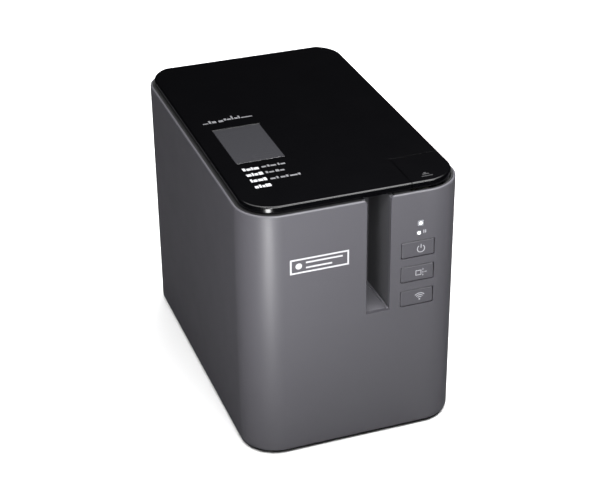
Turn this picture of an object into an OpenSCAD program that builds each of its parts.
// Desktop label maker for 36 mm laminated tape, with a hinged top cover,
// a tall tape exit slot and a cassette printing mechanism inside.
// Millimetres, +Z up, origin on the table under the centre of the body.
// The tape exit and the buttons face -Y.

/* [Body] */
// Width of the body
body_w = 118; // [117:0.5:119]
// Depth of the body
body_d = 192; // [191:0.5:194]
// Height to the top of the cover
body_h = 146; // [145:0.5:148]
// Radius of the upright corners
corner_r = 20; // [17:0.5:22]
// Wall thickness of the housing
wall = 2.4; // [2:0.1:2.6]
// Height that the rubber feet lift the bottom cover
foot_h = 1.2; // [1:0.1:1.4]

/* [Cover] */
// How far the cover stands inside the housing outline
cover_inset = 2.6; // [2.6:0.1:3]
// Thickness of the cover plate
cover_t = 3.4; // [3.2:0.1:3.6]
// Length of the viewer window, front to back
viewer_l = 42.4; // [36:0.2:44]
// Width of the viewer window
viewer_w = 26.5; // [22:0.5:28]
// Width of the release button in the cover's front right corner
release_w = 26.9; // [26:0.1:28]
// Depth of that button
release_d = 28.8; // [28:0.1:30]

/* [Tape exit] */
// Width of the exit slot
slot_w = 13; // [12:0.1:13]
// Height of the slot's floor above the table
slot_floor = 76.5; // [76:0.1:77]
// Depth of the exit channel
slot_d = 30; // [29:0.5:30]

/* [Front buttons] */
// Width of a front button's opening
key_w = 18.6; // [16:0.2:19]
// Height of a front button's opening
key_h = 9.6; // [8:0.2:10]
// Distance between two front buttons
key_pitch = 14.2; // [13.8:0.1:14.4]
// Height of the middle button's centre
key_mid_z = 95.4; // [95:0.2:97]

/* [Mechanism] */
// Radius of the platen roller
platen_r = 5.5; // [5.3:0.1:5.5]
// Radius of the tape feed roller
feed_r = 4; // [3.8:0.1:4]
// Width of the widest tape
tape_w = 36; // [24:1:36]

/* [Hidden] */
$fn = 72;
tiny = 0.01;

// Levels, from the table up
cover_bottom = foot_h;
housing_bottom = 2.4;
cover_z = body_h - cover_t;
deck_top = body_h - 4;
deck_flange = 1.2;
tray_floor = body_h - 12;
tray_t = 2;
plate_z = 76;
plate_t = 1.5;
gear_plate_z = 68.5;
well_floor = 84;
well_t = 1.6;
cassette_z = 84.2;
cassette_h = 46;
tape_z = cassette_z + (cassette_h - tape_w) / 2;

// Outline of the exit channel
slot_mid = 10.75;
slot_x0 = slot_mid - slot_w / 2;
slot_x1 = slot_mid + slot_w / 2;
front_y = -body_d / 2;
channel_back = front_y + slot_d;

// Cover outline, hinge and release button
cover_w = body_w - 2 * cover_inset;
cover_d = body_d - 2 * cover_inset;
cover_r = corner_r - cover_inset;
hinge_y = cover_d / 2 - 3.1;
hinge_z = cover_z + 0.3;
hinge_r = 3.1;
knuckle_r = 2.2;
pin_r = 1.1;
pin_gap = 0.05;
lug_x = 27;
lug_w = 6;
lug_skin = 0.6;
knuckle_w = 5.6;
knuckle_gap = 6.2;
seam = 0.4;
release_x = cover_w / 2 - release_w;
release_y = -cover_d / 2 + release_d;
viewer_x = -32.5;
viewer_y = -20.7;
post_x = 41;
post_y = -71.5;
latch_y = -81;
latch_x = 27.9;

// Opening in the back for the rear panel
rear_x = 37;
rear_z0 = 8;
rear_z1 = 48;

// Cassette well and the opening over the roller holder
well_x0 = -54.6;
well_x1 = 9;
well_y0 = -53;
well_y1 = 37;
holder_x1 = 33;
holder_y1 = 4;
sensor_x = -52;
sensor_y = [-30, -24, -18];

// Front buttons
key_x = 32.3;
key_gap = 0.25;
wall_in_y = front_y + wall;
light_x = 33.4;
light_z = [124.1, 118.7];
light_w = [3.4, 2.6];

// Tape feed gear train: module, centres and tooth counts
gear_m = 0.6;
platen_at = [16.6, -32];
feed_at = [15.1, -46];
platen_n = 22;
feed_n = 16;
transfer_n = 14;
idler_top_n = 20;
idler_low_n = 40;
ribbon_n = 36;
motor_n = 14;
function pitch_r(n, m) = n * m / 2;
pivot_at = [20, -4];
// The platen leaves the idler square to its teeth as the holder swings
from_pivot = platen_at - pivot_at;
part_angle = atan2(from_pivot[1], from_pivot[0]) + acos(pitch_r(platen_n, gear_m) / norm(from_pivot));
idler_at = platen_at - pitch_r(platen_n + idler_top_n, gear_m) * [cos(part_angle), sin(part_angle)];
// The transfer gear meshes with both rollers' gears, on their far side
r_pt = pitch_r(platen_n + transfer_n, gear_m);
r_ft = pitch_r(feed_n + transfer_n, gear_m);
axis_gap = norm(feed_at - platen_at);
axis_dir = (feed_at - platen_at) / axis_gap;
along = (r_pt * r_pt - r_ft * r_ft + axis_gap * axis_gap) / (2 * axis_gap);
aside = sqrt(r_pt * r_pt - along * along);
transfer_at = platen_at + along * axis_dir + aside * [-axis_dir[1], axis_dir[0]];
motor_angle = 53.13;
motor_at = idler_at + pitch_r(motor_n + idler_low_n, gear_m) * [cos(motor_angle), sin(motor_angle)];
ribbon_angle = 174;
ribbon_at = idler_at + pitch_r(ribbon_n + idler_low_n, gear_m) * [cos(ribbon_angle), sin(ribbon_angle)];
low_gear_z = 71.2;
low_gear_t = 3;
top_gear_z = 78.5;
top_gear_t = 3;

// Tape cutter, drawn in the XZ plane
cut_at = [5, 78];
cut_m = 1;
cut_sector_n = 36;
cut_pinion_n = 14;
cut_angle = 245;
cut_pinion_at = cut_at + pitch_r(cut_sector_n + cut_pinion_n, cut_m) * [cos(cut_angle), sin(cut_angle)];
cut_frame_y = -58.2;
lever_y = -61.7;
lever_t = 2.9;

// ---- shared shapes ----

// Rounded rectangle with true arcs
module outline(w, d, r) {
    square([w - 2 * r, d], center = true);
    square([w, d - 2 * r], center = true);
    for (sx = [-1, 1], sy = [-1, 1])
        translate([sx * (w / 2 - r), sy * (d / 2 - r)]) circle(r);
}

// Upright block with the plan outline, grown by g from the body outline
module body_block(g, z0, z1) {
    translate([0, 0, z0]) linear_extrude(z1 - z0)
        outline(body_w + 2 * g, body_d + 2 * g, corner_r + g);
}

module box(x0, x1, y0, y1, z0, z1) {
    translate([x0, y0, z0]) cube([x1 - x0, y1 - y0, z1 - z0]);
}

// Cylinder along X, Y or Z from a to b
module rod_x(r, a, b, y, z) { translate([a, y, z]) rotate([0, 90, 0]) cylinder(r = r, h = b - a); }
module rod_y(r, a, b, x, z) { translate([x, b, z]) rotate([90, 0, 0]) cylinder(r = r, h = b - a); }
module rod_z(r, a, b, x, y) { translate([x, y, a]) cylinder(r = r, h = b - a); }

// Draws in XZ and extrudes along Y from y0 to y1
module slab_xz(y0, y1) {
    translate([0, y1, 0]) rotate([90, 0, 0]) linear_extrude(y1 - y0) children();
}

// Involute spur gear outline with stub teeth and a little backlash
pressure = 20;
backlash = 0.12;
function inv_angle(rb, r) = let (a = acos(min(1, rb / r))) tan(a) * 180 / PI - a;
function flank(n, m, side, i) = let (
        rp = n * m / 2,
        rb = rp * cos(pressure),
        r0 = max(rb, rp - 1.05 * m),
        r = r0 + (rp + 0.8 * m - r0) * i / 4,
        half = 90 / n - backlash / rp * 90 / PI / 2 + inv_angle(rb, rp) - inv_angle(rb, r)
    ) [r, side * half];
function tooth(n, m, at) = let (root = n * m / 2 - 1.1 * m, step = 360 / n) concat(
        [[root, at - step / 2 + 0.02], [root, at + flank(n, m, -1, 0)[1] - 0.3]],
        [for (i = [0:4]) let (f = flank(n, m, -1, i)) [f[0], at + f[1]]],
        [for (i = [4:-1:0]) let (f = flank(n, m, 1, i)) [f[0], at + f[1]]],
        [[root, at + flank(n, m, 1, 0)[1] + 0.3]]);
module gear2d(n, m, turn) {
    polar = [for (k = [0:n - 1]) each tooth(n, m, k * 360 / n)];
    rotate(turn) polygon([for (p = polar) [p[0] * cos(p[1]), p[0] * sin(p[1])]]);
}
// Turn that puts gear b in mesh with gear a, seen along the direction dir from a to b
function part_of(v) = v - floor(v);
function mesh_turn(na, turn_a, nb, dir) =
    dir + 180 - 360 / nb * (0.5 - part_of((dir - turn_a) * na / 360));
function heading(v) = atan2(v[1], v[0]);
idler_top_turn = 0;
platen_turn = mesh_turn(idler_top_n, idler_top_turn, platen_n, heading(platen_at - idler_at));
transfer_turn = mesh_turn(platen_n, platen_turn, transfer_n, heading(transfer_at - platen_at));
feed_turn = mesh_turn(transfer_n, transfer_turn, feed_n, heading(feed_at - transfer_at));
motor_turn = mesh_turn(idler_low_n, 0, motor_n, heading(motor_at - idler_at));
ribbon_turn = mesh_turn(idler_low_n, 0, ribbon_n, heading(ribbon_at - idler_at));
cut_pinion_turn = mesh_turn(cut_sector_n, 0, cut_pinion_n, cut_angle);

// ---- casing ----

// Sleeve that makes the front, sides and back in one piece
module housing() {
    color("#6b6a70") difference() {
        body_block(0, housing_bottom, deck_top);
        body_block(-wall, housing_bottom - 1, deck_top + 1);
        body_block(-1.2, deck_top - deck_flange, deck_top + 1);
        box(slot_x0, slot_x1, front_y - 1, wall_in_y + 1, slot_floor, deck_top + 1);
        for (k = [-1:1])
            box(key_x - key_w / 2, key_x + key_w / 2, front_y - 1, wall_in_y + 1,
                key_mid_z + k * key_pitch - key_h / 2, key_mid_z + k * key_pitch + key_h / 2);
        for (i = [0:1])
            box(light_x - light_w[i] / 2, light_x + light_w[i] / 2, front_y - 1, wall_in_y + 1,
                light_z[i] - light_w[i] / 2, light_z[i] + light_w[i] / 2);
        box(-rear_x, rear_x, body_d / 2 - wall - 1, body_d / 2 + 1, rear_z0, rear_z1);
    }
}

foot_x = 42;
foot_y = 78;
foot_r = 7;
screw_x = 44;
screw_y = 60;
screw_head_r = 3.1;
screw_shank_r = 1.4;
bottom_t = 2.4;
module bottom_cover() {
    color("#1c1c1e") difference() {
        union() {
            body_block(-wall - 0.2, cover_bottom, cover_bottom + bottom_t);
            for (sx = [-1, 1], sy = [-1, 1])
                rod_z(4.5, cover_bottom + 2, 6, sx * screw_x, sy * screw_y);
        }
        for (sx = [-1, 1], sy = [-1, 1]) {
            rod_z(foot_r + 0.1, cover_bottom - 1, cover_bottom + 1, sx * foot_x, sy * foot_y);
            rod_z(screw_shank_r + 0.3, 0, 7, sx * screw_x, sy * screw_y);
            rod_z(screw_head_r + 0.3, 0, cover_bottom + 1.4, sx * screw_x, sy * screw_y);
        }
        for (i = [-4:4])
            box(i * 6 - 1.2, i * 6 + 1.2, 20, 52, 0, 5);
    }
}

module rubber_feet() {
    color("#2a2a2b") for (sx = [-1, 1], sy = [-1, 1])
        rod_z(foot_r, 0, cover_bottom + 0.95, sx * foot_x, sy * foot_y);
}

module bottom_screws() {
    color("silver") for (sx = [-1, 1], sy = [-1, 1]) difference() {
        union() {
            rod_z(screw_head_r, cover_bottom + 0.1, cover_bottom + 1.35, sx * screw_x, sy * screw_y);
            rod_z(screw_shank_r, cover_bottom + 1, 8.4, sx * screw_x, sy * screw_y);
        }
        translate([sx * screw_x, sy * screw_y, cover_bottom]) {
            box(-1.9, 1.9, -0.35, 0.35, -0.1, 0.9);
            box(-0.35, 0.35, -1.9, 1.9, -0.1, 0.9);
        }
    }
}

// Recessed plate behind the sockets, which stand on the main board
port_z = 15.6;
port_end = 95;
socket_back = 78;
jack_z = port_z + 6.5;
power_x = -26;
usb_x = 0;
serial_x = 25;
module rear_panel() {
    color("#1d1d1f") difference() {
        union() {
            box(-rear_x + 0.2, rear_x - 0.2, body_d / 2 - wall - 0.5, body_d / 2 - 0.6,
                rear_z0 + 0.2, rear_z1 - 0.2);
            box(-rear_x - 3, rear_x + 3, body_d / 2 - wall - 1.4, body_d / 2 - wall - 0.05,
                rear_z0 - 0.2, rear_z1 + 2);
        }
        rod_y(5.4, 80, 100, power_x, jack_z);
        box(usb_x - 6.4, usb_x + 6.4, 80, 100, port_z - 0.3, port_z + 11.1);
        box(serial_x - 7.4, serial_x + 7.4, 80, 100, port_z - 0.3, port_z + 13.3);
        box(-30, -22.6, 80, 100, 37, 40.4);
    }
}

// Frame under the cover: flange, tray, cassette well and hinge lugs
module top_deck() {
    color("#151516") difference() {
        union() {
            body_block(-1.4, deck_top - deck_flange, deck_top);
            body_block(-wall - 0.15, tray_floor - tray_t, deck_top - deck_flange + tiny);
            box(well_x0 - well_t, well_x1 + well_t, well_y0 - well_t, well_y1 + well_t,
                well_floor - well_t, tray_floor);
            for (y = [-44, 4]) rod_z(3, plate_z + plate_t, well_floor, -48, y);
            for (sx = [-1, 1])
                rod_x(knuckle_r, sx * lug_x - lug_w / 2, sx * lug_x + lug_w / 2, hinge_y, hinge_z);
        }
        difference() {
            body_block(-5.6, tray_floor, deck_top + 1);
            for (sx = [-1, 1]) {
                rod_x(knuckle_r, sx * lug_x - lug_w / 2, sx * lug_x + lug_w / 2, hinge_y, hinge_z);
                box(sx * lug_x - lug_w / 2, sx * lug_x + lug_w / 2, hinge_y - knuckle_r,
                    hinge_y + knuckle_r, tray_floor, hinge_z);
            }
            for (x = [30, 43]) {
                box(x, x + 3, latch_y - 4.4, latch_y + 4.4, tray_floor, tray_floor + 1.7);
                for (y = [latch_y - 4.4, latch_y + 2.9])
                    box(x, x + 3, y, y + 1.5, tray_floor, tray_floor + 4.6);
            }
        }
        difference() {
            rod_x(3.3, -48, 48, hinge_y, hinge_z);
            for (sx = [-1, 1])
                box(sx * lug_x - lug_w / 2, sx * lug_x + lug_w / 2, 80, hinge_y + knuckle_r,
                    130, hinge_z + knuckle_r);
        }
        for (sx = [-1, 1])
            rod_x(pin_r + pin_gap, sx * lug_x - 4, sx * lug_x + 4, hinge_y, hinge_z);
        box(well_x0, well_x1 + well_t + 1, well_y0, well_y1, well_floor, tray_floor + 1);
        box(well_x1 - 8.5, holder_x1, well_y0 - well_t - 1, holder_y1,
            well_floor - well_t - 1, tray_floor + 1);
        box(-20, holder_x1, channel_back - 0.4, well_y0 + 1, well_floor - well_t - 1, tray_floor + 1);
        box(slot_x0 - 2.2, slot_x1 + 2.2, front_y, channel_back + 1, tray_floor - 4, deck_top + 1);
        rod_z(4.4, well_floor - 3, well_floor + 1, ribbon_at[0], ribbon_at[1]);
        rod_z(3.3, tray_floor - 3, tray_floor + 1, post_x, post_y);
        intersection() {
            body_block(-2.2, tray_floor + 4, deck_top + 1);
            box(release_x - 1, 70, -100, release_y + 1, 0, 200);
        }
        for (y = sensor_y) rod_z(1.6, well_floor - 3, well_floor + 1, sensor_x, y);
    }
}

// Grey floor of the exit channel
module exit_chute() {
    color("#6b6a70") difference() {
        box(slot_x0 - 2.2, slot_x1 + 2.2, wall_in_y + 0.1, channel_back, slot_floor - 1.6, slot_floor);
        box(slot_x0 - 2.3, slot_x0, -100, 0, slot_floor - 0.4, slot_floor + 1);
        box(slot_x1, slot_x1 + 2.3, -100, 0, slot_floor - 0.4, slot_floor + 1);
    }
}

// Dark cheeks and rear wall of the exit channel
module slot_liner() {
    color("#232325") difference() {
        box(slot_x0 - 2, slot_x1 + 2, wall_in_y + 0.1, channel_back + 1, slot_floor - 0.3, deck_top - 0.8);
        box(slot_x0, slot_x1, front_y, channel_back, 0, 200);
        box(slot_x0 - 3, slot_x1 + 3, front_y, channel_back, 0, slot_floor - 0.2);
        box(slot_mid - 1.6, slot_mid + 1.9, channel_back - 1, channel_back + 3, tape_z - 3, 200);
    }
}

// ---- cover ----
module cover_plan() { outline(cover_w, cover_d, cover_r); }

module cover() {
    color("#0b0b0c") difference() {
        union() {
            difference() {
                translate([0, 0, cover_z]) linear_extrude(cover_t) cover_plan();
                difference() {
                    box(-70, 70, hinge_y, 100, cover_z - 1, body_h + 1);
                    rod_x(hinge_r, -71, 71, hinge_y, hinge_z);
                }
            }
            for (sx = [-1, 1], g = [-1, 1])
                translate([sx * lug_x + g * knuckle_gap, 0, 0])
                    rod_x(knuckle_r, -knuckle_w / 2, knuckle_w / 2, hinge_y, hinge_z);
        }
        box(release_x - seam, 70, -100, release_y + seam, 100, 200);
        box(viewer_x - viewer_w / 2, viewer_x + viewer_w / 2, viewer_y - viewer_l / 2,
            viewer_y + viewer_l / 2, body_h - 1.6, body_h + 1);
        box(viewer_x - viewer_w / 2 + 1.2, viewer_x + viewer_w / 2 - 1.2, viewer_y - viewer_l / 2 + 1.2,
            viewer_y + viewer_l / 2 - 1.2, cover_z - 1, body_h + 1);
        for (sx = [-1, 1]) {
            box(sx * lug_x - lug_w / 2 - seam, sx * lug_x + lug_w / 2 + seam, hinge_y - 3.4, 100,
                100, body_h - lug_skin);
            rod_x(pin_r + 0.02, sx * lug_x - 8.6, sx * lug_x + 8.6, hinge_y, hinge_z);
        }
    }
}

module viewer_window() {
    color("#58585a") box(viewer_x - viewer_w / 2 + 0.1, viewer_x + viewer_w / 2 - 0.1,
        viewer_y - viewer_l / 2 + 0.1, viewer_y + viewer_l / 2 - 0.1, body_h - 1.6, body_h - 0.15);
}

// Matt frame screwed under the cover, with the latch hook
liner_back = 85.5;
module cover_liner() {
    color("#2b2b2d") difference() {
        union() {
            difference() {
                body_block(-7.6, body_h - 9, cover_z);
                body_block(-9.2, body_h - 10, cover_z - 1.4);
            }
            intersection() {
                for (x = [-12, 4, 12]) box(x - 0.7, x + 0.7, -90, 84, cover_z - 5, cover_z - 1);
                body_block(-9, 0, 200);
            }
            box(22.6, 24.2, -88, -56, body_h - 9, cover_z - 1);
            box(24.2, 51.6, -59.6, -58, body_h - 9, cover_z - 1);
        }
        box(24.2, 70, -100, -59.6, 100, 200);
        box(slot_x0 - 2.6, slot_x1 + 2.6, -100, channel_back + 1.6, 100, deck_top - 0.4);
        box(viewer_x - viewer_w / 2 + 1.2, viewer_x + viewer_w / 2 - 1.2, viewer_y - viewer_l / 2 + 1.2,
            viewer_y + viewer_l / 2 - 1.2, 100, 200);
        box(-70, 70, liner_back, 100, 100, 200);
    }
    color("#2b2b2d") slab_xz(latch_y - 2, latch_y + 2)
        polygon([[24.2, cover_z - 1.6], [24.2, 134.6], [25.4, 134.6], [27.4, 135.6], [25.8, 136],
            [25.8, cover_z - 1.6]]);
}

module hinge_pins() {
    color("silver") for (sx = [-1, 1])
        rod_x(pin_r, sx * lug_x - 8.4, sx * lug_x + 8.4, hinge_y, hinge_z);
}

// Rod that presses the roller holder shut as the cover closes
module release_rod() {
    color("#dcdcd8") box(26, 29, -34, -30, 116, cover_z - 1.4);
}

// Corner button that frees the cover
module release_button() {
    color("#0b0b0c") {
        intersection() {
            translate([0, 0, cover_z + 0.1]) linear_extrude(cover_t - 0.1) cover_plan();
            box(release_x, 70, -100, release_y, 100, 200);
        }
        rod_z(3, 128, cover_z + 0.2, post_x, post_y);
        slab_xz(latch_y - 1.1, latch_y + 1.1)
            polygon([[36, cover_z + 0.2], [36, 136.4], [39.6, 136.4], [41.6, 138.4], [41.6, cover_z + 0.2]]);
    }
}

// Coil spring swept round the button's post
spring_turns = 4;
spring_steps = 14;
spring_r = 4.1;
wire_r = 0.35;
wire_sides = 6;
spring_z0 = tray_floor + wire_r + 0.05;
spring_rise = cover_z - 0.1 - wire_r - spring_z0;
module release_spring() {
    count = spring_turns * spring_steps;
    points = [for (i = [0:count], s = [0:wire_sides - 1]) let (
            a = 360 * i / spring_steps,
            w = 360 * s / wire_sides,
            r = spring_r + wire_r * cos(w))
        [post_x + r * cos(a), post_y + r * sin(a), spring_z0 + spring_rise * i / count + wire_r * sin(w)]];
    sides = [for (i = [0:count - 1], s = [0:wire_sides - 1]) let (t = (s + 1) % wire_sides)
        [i * wire_sides + s, (i + 1) * wire_sides + s, (i + 1) * wire_sides + t, i * wire_sides + t]];
    caps = [[for (s = [0:wire_sides - 1]) s], [for (s = [wire_sides - 1:-1:0]) count * wire_sides + s]];
    color("silver") polyhedron(points, concat(sides, caps));
}

module latch_slider() {
    color("#dcdcd8") difference() {
        slab_xz(latch_y - 2.5, latch_y + 2.5)
            polygon([[latch_x, 136], [46, 136], [46, 138], [29.2, 138]]);
        slab_xz(latch_y - 1.4, latch_y + 1.4)
            polygon([[33.6, 135], [38.4, 135], [42.4, 139], [33.6, 139]]);
    }
}

// ---- front controls ----
module key_shape(k) {
    z = key_mid_z + k * key_pitch;
    color("#626167") {
        box(key_x - key_w / 2 + key_gap, key_x + key_w / 2 - key_gap, front_y, wall_in_y + 0.8,
            z - key_h / 2 + key_gap, z + key_h / 2 - key_gap);
        box(key_x - key_w / 2 - 1, key_x + key_w / 2 + 1, wall_in_y + 0.7, wall_in_y + 1.7,
            z - key_h / 2 - 1, z + key_h / 2 + 1);
        rod_y(1.6, wall_in_y + 1.5, -90.2, key_x, z);
    }
}
module power_button() { key_shape(1); }
module cut_button() { key_shape(0); }
module wireless_button() { key_shape(-1); }

module status_lights() {
    color("white") for (i = [0:1])
        box(light_x - light_w[i] / 2 + 0.1, light_x + light_w[i] / 2 - 0.1, front_y + 0.05, -88.4,
            light_z[i] - light_w[i] / 2 + 0.1, light_z[i] + light_w[i] / 2 - 0.1);
}

module button_board() {
    color("#1f5b35") difference() {
        box(20.8, 44, -86, -84.4, 72, 128);
        for (z = [75, 125]) rod_y(1.3, -87, -83, 41.6, z);
    }
}

module tact_switches() {
    color("#3a3a3c") for (k = [-1:1]) {
        z = key_mid_z + k * key_pitch;
        box(key_x - 3, key_x + 3, -89, -86, z - 3, z + 3);
        rod_y(1.7, -89.5, -88.9, key_x, z);
    }
}

// ---- frame ----
module steel_chassis() {
    color("#a9abad") difference() {
        union() {
            box(-50, 50, -84, 66, 6, 7.6);
            for (sx = [-1, 1]) box(sx * 49.2 - 0.8, sx * 49.2 + 0.8, -54, 10, 7, plate_z);
        }
        for (sx = [-1, 1], sy = [-1, 1]) rod_z(1.4, 5, 9, sx * screw_x, sy * screw_y);
        for (y = [-40, 0]) rod_x(4, -60, 60, y, 48);
    }
}

module mechanism_plate() {
    color("#b4b6b8") difference() {
        box(-50, 50, -56.5, 10, plate_z, plate_z + plate_t);
        rod_z(3.4, 70, 80, idler_at[0], idler_at[1]);
        rod_z(3.2, 70, 80, ribbon_at[0], ribbon_at[1]);
        for (x = [-40, 40]) rod_z(1.6, 70, 80, x, -50);
        rod_z(4.2, 70, 80, 38, -8);
        box(-14, 13, -60, -53.5, 70, 80);
    }
}

// Lower plate of the gearbox, with its four spacers
module gear_plate() {
    color("#b4b6b8") difference() {
        union() {
            box(-32, 36, -54, 4, gear_plate_z, gear_plate_z + plate_t);
            for (x = [-29, 33], y = [-51, 1]) rod_z(2.5, gear_plate_z + 0.5, plate_z, x, y);
        }
        rod_z(3.6, 60, 71, motor_at[0], motor_at[1]);
        for (a = [0:120:240])
            rod_z(1.3, 60, 71, motor_at[0] + 9 * cos(a), motor_at[1] + 9 * sin(a));
    }
}

axle_r = 1.2;
module gear_axles() {
    color("silver") {
        rod_z(axle_r, 70, 82.2, idler_at[0], idler_at[1]);
        rod_z(axle_r, 70, plate_z + 1, ribbon_at[0], ribbon_at[1]);
    }
}

motor_r = 13;
motor_z0 = 38;
motor_z1 = 66;
motor_shaft_r = 1;
module feed_motor() {
    color("#8e9093") difference() {
        union() {
            rod_z(motor_r, motor_z0, motor_z1, motor_at[0], motor_at[1]);
            rod_z(motor_r - 1.2, motor_z1, gear_plate_z - 0.05, motor_at[0], motor_at[1]);
            rod_z(4, motor_z0 - 2, motor_z0, motor_at[0], motor_at[1]);
        }
        rod_z(motor_shaft_r + 0.05, 56, 70, motor_at[0], motor_at[1]);
    }
}

module spur(n, m, z, t, at, turn, bore) {
    translate([at[0], at[1], z]) linear_extrude(t) difference() {
        gear2d(n, m, turn);
        circle(bore);
    }
}

module motor_pinion() {
    color("#c9a44c")
        spur(motor_n, gear_m, low_gear_z - 0.2, low_gear_t + 0.4, motor_at, motor_turn, motor_shaft_r);
    color("silver") rod_z(motor_shaft_r, 56.4, 75, motor_at[0], motor_at[1]);
}

module idler_gear() {
    color("#e9e7df") {
        spur(idler_low_n, gear_m, low_gear_z, low_gear_t, idler_at, 0, axle_r + 0.05);
        difference() {
            rod_z(3, low_gear_z + low_gear_t, top_gear_z, idler_at[0], idler_at[1]);
            rod_z(axle_r + 0.05, 60, 90, idler_at[0], idler_at[1]);
        }
        spur(idler_top_n, gear_m, top_gear_z, top_gear_t, idler_at, idler_top_turn, axle_r + 0.05);
    }
}

// Splined spindle that turns the cassette's ribbon core
module ribbon_spindle() {
    color("#e9e7df") difference() {
        union() {
            spur(ribbon_n, gear_m, low_gear_z, low_gear_t, ribbon_at, ribbon_turn, axle_r + 0.05);
            rod_z(3, low_gear_z + low_gear_t, well_floor + 2, ribbon_at[0], ribbon_at[1]);
            rod_z(2.6, well_floor + 1, 120, ribbon_at[0], ribbon_at[1]);
            for (a = [0:60:300]) translate([ribbon_at[0], ribbon_at[1], well_floor + 2])
                rotate(a) box(2.2, 3.9, -0.5, 0.5, -1, 31);
        }
        rod_z(axle_r + 0.05, 60, plate_z + 1.2, ribbon_at[0], ribbon_at[1]);
    }
}

// ---- print head and rollers ----
module print_head() {
    color("#b9bcc0") {
        difference() {
            box(2, 9.4, -40, -24, well_floor - 1.5, 127);
            for (z = [90:6:122]) box(0, 6.4, -41, -23, z, z + 3);
        }
        box(2, 9.4, -40, -35.5, plate_z + plate_t, well_floor - 1);
    }
}

module head_element() {
    color("#e8e6e1") box(9.4, 10.5, -39, -25, roller_z0, roller_z1);
}

holder_z0 = 82.6;
holder_z1 = 127.2;
holder_t = 2.2;
module holder_plan() {
    polygon([[12.6, -49], [12.4, -44], [13.6, -32], [15.6, -6], [24.6, -4], [24.6, -30], [21, -50]]);
    translate(pivot_at) circle(4.6);
    translate(platen_at) circle(4);
    translate(feed_at) circle(3.6);
    translate(transfer_at) circle(3.4);
}

holder_pin_r = 2;
shaft_r = 1.5;
module roller_holder() {
    color("#d9d8d2") difference() {
        union() {
            for (z = [holder_z0, holder_z1])
                translate([0, 0, z]) linear_extrude(holder_t) holder_plan();
            box(22.6, 24.6, -46, -2, holder_z0, holder_z1 + holder_t);
            rod_z(3, holder_z0 - 0.8, holder_z0 + 0.1, transfer_at[0], transfer_at[1]);
            rod_z(axle_r, top_gear_z - 0.4, holder_z0 + 0.1, transfer_at[0], transfer_at[1]);
        }
        rod_z(holder_pin_r + 0.05, 70, 140, pivot_at[0], pivot_at[1]);
        for (c = [platen_at, feed_at]) rod_z(shaft_r + 0.05, 70, 140, c[0], c[1]);
    }
}

module holder_pin() {
    color("silver") {
        rod_z(holder_pin_r, plate_z + plate_t, 130.4, pivot_at[0], pivot_at[1]);
        rod_z(3.4, plate_z + plate_t, 82.3, pivot_at[0], pivot_at[1]);
    }
}

roller_z0 = 86;
roller_z1 = 126;
module roller(at, r) {
    difference() {
        rod_z(r, roller_z0, roller_z1, at[0], at[1]);
        rod_z(shaft_r, 80, 130, at[0], at[1]);
    }
}

module platen_roller() {
    color("#3a3a3b") roller(platen_at, platen_r);
}

module feed_roller() {
    color("#8a8d90") difference() {
        roller(feed_at, feed_r);
        for (z = [92:8:120]) difference() {
            rod_z(feed_r + 1, z, z + 1.5, feed_at[0], feed_at[1]);
            rod_z(feed_r - 0.6, z - 1, z + 3, feed_at[0], feed_at[1]);
        }
    }
}

// Steel shaft with its gear on the lower end
module shaft_gear(n, at, turn) {
    rod_z(shaft_r, top_gear_z, 130.6, at[0], at[1]);
    spur(n, gear_m, top_gear_z, top_gear_t, at, turn, shaft_r);
}
module platen_gear() { color("#e9e7df") shaft_gear(platen_n, platen_at, platen_turn); }
module feed_roller_gear() { color("#e9e7df") shaft_gear(feed_n, feed_at, feed_turn); }
module transfer_gear() {
    color("#e9e7df")
        spur(transfer_n, gear_m, top_gear_z, top_gear_t, transfer_at, transfer_turn, axle_r + 0.05);
}

// ---- tape cutter ----
module cutter_frame() {
    color("#a9abad") difference() {
        union() {
            slab_xz(cut_frame_y - 1.2, cut_frame_y) difference() {
                translate([-18, 44]) square([48, 86]);
                translate([-9, 82]) square([24, 60]);
                translate([19, 60]) square([8, 18]);
            }
            for (x = [-18, 26])
                box(x, x + 4, cut_frame_y - 0.1, -50, plate_z - 1.5, plate_z);
        }
        rod_y(2, -70, -50, cut_at[0], cut_at[1]);
        rod_y(4.2, -70, -50, cut_pinion_at[0], cut_pinion_at[1]);
    }
}

module fixed_blade() {
    color("#cfd2d5") slab_xz(cut_frame_y - 2.3, cut_frame_y - 1.2)
        polygon([[11.6, 83], [12.4, 129], [20, 129], [20, 83]]);
}

module cutter_lever() {
    color("#d9d8d2") difference() {
        union() {
            slab_xz(lever_y - lever_t, lever_y) translate(cut_at) intersection() {
                gear2d(cut_sector_n, cut_m, 0);
                polygon([[0, 6], [-20, -11], [-14, -26], [4, -26], [6, 0]]);
            }
            slab_xz(lever_y - lever_t, lever_y)
                polygon([[0, 78], [-1, 94], [4, 96], [8.4, 92], [10, 78]]);
            rod_y(5.2, lever_y - lever_t, lever_y, cut_at[0], cut_at[1]);
        }
        rod_y(2.05, -70, -50, cut_at[0], cut_at[1]);
    }
}

module moving_blade() {
    color("#cfd2d5") difference() {
        slab_xz(lever_y + 0.02, lever_y + 0.95)
            polygon([[9.8, 84], [3, 129], [-2, 129], [-1, 80], [1, 74], [9, 74], [10, 78]]);
        rod_y(2.05, -70, -50, cut_at[0], cut_at[1]);
    }
}

module cutter_pivot() {
    color("silver") {
        rod_y(1.99, -64.8, cut_frame_y + 0.1, cut_at[0], cut_at[1]);
        rod_y(3, cut_frame_y, cut_frame_y + 1, cut_at[0], cut_at[1]);
    }
}

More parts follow.
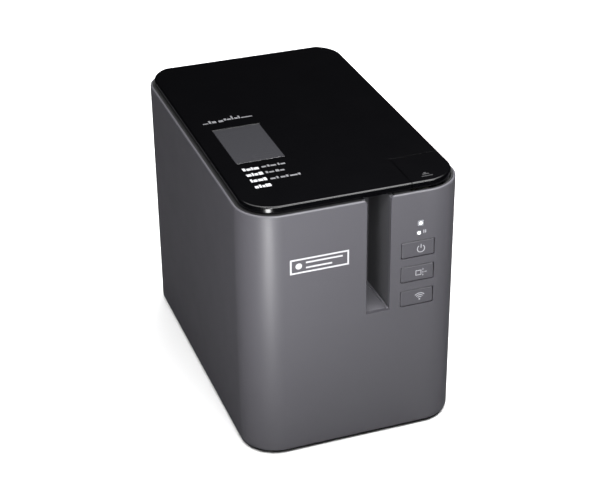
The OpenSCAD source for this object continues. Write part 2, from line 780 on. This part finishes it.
cut_shaft_r = 1.3;
module cutter_motor() {
    color("#8e9093") difference() {
        union() {
            rod_y(8.5, cut_frame_y + 0.1, -41, cut_pinion_at[0], cut_pinion_at[1]);
            rod_y(3, -41, -39.8, cut_pinion_at[0], cut_pinion_at[1]);
        }
        rod_y(cut_shaft_r + 0.05, -60, -47, cut_pinion_at[0], cut_pinion_at[1]);
    }
}

module cutter_pinion() {
    color("#c9a44c") slab_xz(lever_y - lever_t, lever_y) translate(cut_pinion_at)
        difference() {
            gear2d(cut_pinion_n, cut_m, cut_pinion_turn);
            circle(cut_shaft_r);
        }
    color("silver")
        rod_y(cut_shaft_r, lever_y - lever_t - 0.6, -47.4, cut_pinion_at[0], cut_pinion_at[1]);
}

// ---- tape cassette ----
case_x0 = -54;
case_x1 = 8;
case_y0 = -52;
case_y1 = 36;
case_t = 1.6;
split_z = cassette_z + 30;
roll_at = [-32, 6];
roll_r = 19.5;
bay_at = [0.4, -42];
bay_size = [10, 20.6];
module cassette_plan(g) {
    difference() {
        translate([(case_x0 + case_x1) / 2, (case_y0 + case_y1) / 2])
            outline(case_x1 - case_x0 - 2 * g, case_y1 - case_y0 - 2 * g, 5 - g);
        translate([bay_at[0] - g, bay_at[1] - g]) square([bay_size[0], bay_size[1] + 2 * g]);
        translate(ribbon_at) circle(4.6 + g);
    }
}
module case_shell(z0, z1, inner0, inner1) {
    difference() {
        translate([0, 0, z0]) linear_extrude(z1 - z0) cassette_plan(0);
        translate([0, 0, inner0]) linear_extrude(inner1 - inner0) cassette_plan(case_t);
        box(case_x1 - 2, case_x1 + 1, 7.5, 13, tape_z - 0.5, tape_z + tape_w + 0.5);
    }
}
module cassette_base() {
    color("#3c3d40") case_shell(cassette_z, split_z, cassette_z + case_t, split_z + 1);
}
module cassette_lid() {
    color("#4a4b4f") difference() {
        case_shell(split_z + 0.05, cassette_z + cassette_h, split_z - 1, cassette_z + cassette_h - case_t);
        translate([0, 0, cassette_z + cassette_h - 3]) linear_extrude(5)
            translate([-32, 12]) outline(30, 26, 3);
    }
}
module tape_roll() {
    color("#e6e4dc") difference() {
        rod_z(roll_r, tape_z, tape_z + tape_w, roll_at[0], roll_at[1]);
        rod_z(8, tape_z - 1, tape_z + tape_w + 1, roll_at[0], roll_at[1]);
    }
}
module ribbon_core() {
    color("#1d1d20") difference() {
        rod_z(8.3, tape_z, tape_z + tape_w, ribbon_at[0], ribbon_at[1]);
        rod_z(6.4, tape_z - 1, tape_z + tape_w + 1, ribbon_at[0], ribbon_at[1]);
    }
}
module tape_strip() {
    color("white") translate([0, 0, tape_z]) linear_extrude(tape_w)
        polygon([[7.8, 11.4], [10.75, -16], [10.75, -56], [10.9, -56], [10.9, -16], [7.95, 11.6]]);
}

// ---- electronics ----
board_z = 14;
board_t = 1.6;
board_holes = [for (x = [-40, 40], y = [18, 62]) [x, y]];
module main_board() {
    color("#1f5b35") difference() {
        box(-44, 44, 14, 88, board_z, board_z + board_t);
        for (at = board_holes) rod_z(1.6, board_z - 1, board_z + 3, at[0], at[1]);
    }
}
module board_standoffs() {
    color("silver") for (at = board_holes) {
        rod_z(2.6, 7.6, board_z, at[0], at[1]);
        rod_z(1.5, board_z - 0.5, board_z + 2.4, at[0], at[1]);
        rod_z(2.7, port_z + 0.05, port_z + 1.4, at[0], at[1]);
    }
}
module board_parts() {
    color("#26272a") {
        box(-12, 12, 30, 54, port_z, port_z + 1.8);
        box(20, 32, 34, 44, port_z, port_z + 1.4);
        box(-34, -22, 24, 30, port_z, port_z + 1.4);
        for (x = [-34, -22]) rod_z(4, port_z, port_z + 12.4, x, 44);
        box(16, 30, 54, 66, port_z, port_z + 6.4);
    }
}
module power_socket() {
    color("#1a1a1b") {
        difference() {
            union() {
                box(power_x - 4.9, power_x + 4.9, socket_back, 91.6, port_z, port_z + 11.6);
                rod_y(5.1, 91, port_end, power_x, jack_z);
            }
            rod_y(2.85, 84, port_end + 1, power_x, jack_z);
        }
        rod_y(1, 83.9, port_end - 1, power_x, jack_z);
    }
}
module usb_socket() {
    color("#b9bcc0") {
        difference() {
            box(usb_x - 6, usb_x + 6, socket_back, port_end, port_z, port_z + 10.8);
            box(usb_x - 4.4, usb_x + 4.4, 80, port_end + 1, port_z + 1.4, port_z + 9.4);
        }
        box(usb_x - 2.8, usb_x + 2.8, 79.5, 93.5, port_z + 3.8, port_z + 7);
    }
}
module serial_socket() {
    color("#202022") difference() {
        box(serial_x - 7, serial_x + 7, socket_back, port_end, port_z, port_z + 13);
        box(serial_x - 5, serial_x + 5, 82, port_end + 1, port_z + 3.2, port_z + 10);
        box(serial_x - 2, serial_x + 2, 84, port_end + 1, port_z + 1.6, port_z + 4);
    }
}
module wireless_module() {
    color("#1f5b35") box(-44, -20, 64, 76, 19, 20.2);
    color("silver") box(-42, -30, 65.5, 74.5, 20.2, 22.4);
    color("silver") box(-26, -22, 64, 76, 15.65, 18.95);
}
module cassette_sensor() {
    color("#e9e7df") for (y = sensor_y) rod_z(1.4, plate_z + plate_t, well_floor + 0.1, sensor_x, y);
}

housing();
bottom_cover();
rubber_feet();
bottom_screws();
rear_panel();
top_deck();
exit_chute();
slot_liner();
cover();
cover_liner();
viewer_window();
hinge_pins();
release_rod();
release_button();
release_spring();
latch_slider();
power_button();
cut_button();
wireless_button();
status_lights();
button_board();
tact_switches();
steel_chassis();
mechanism_plate();
gear_plate();
gear_axles();
feed_motor();
motor_pinion();
idler_gear();
ribbon_spindle();
print_head();
head_element();
roller_holder();
holder_pin();
platen_roller();
platen_gear();
transfer_gear();
feed_roller();
feed_roller_gear();
cutter_frame();
fixed_blade();
cutter_lever();
moving_blade();
cutter_pivot();
cutter_motor();
cutter_pinion();
cassette_base();
cassette_lid();
tape_roll();
ribbon_core();
tape_strip();
main_board();
board_parts();
board_standoffs();
power_socket();
usb_socket();
serial_socket();
wireless_module();
cassette_sensor();
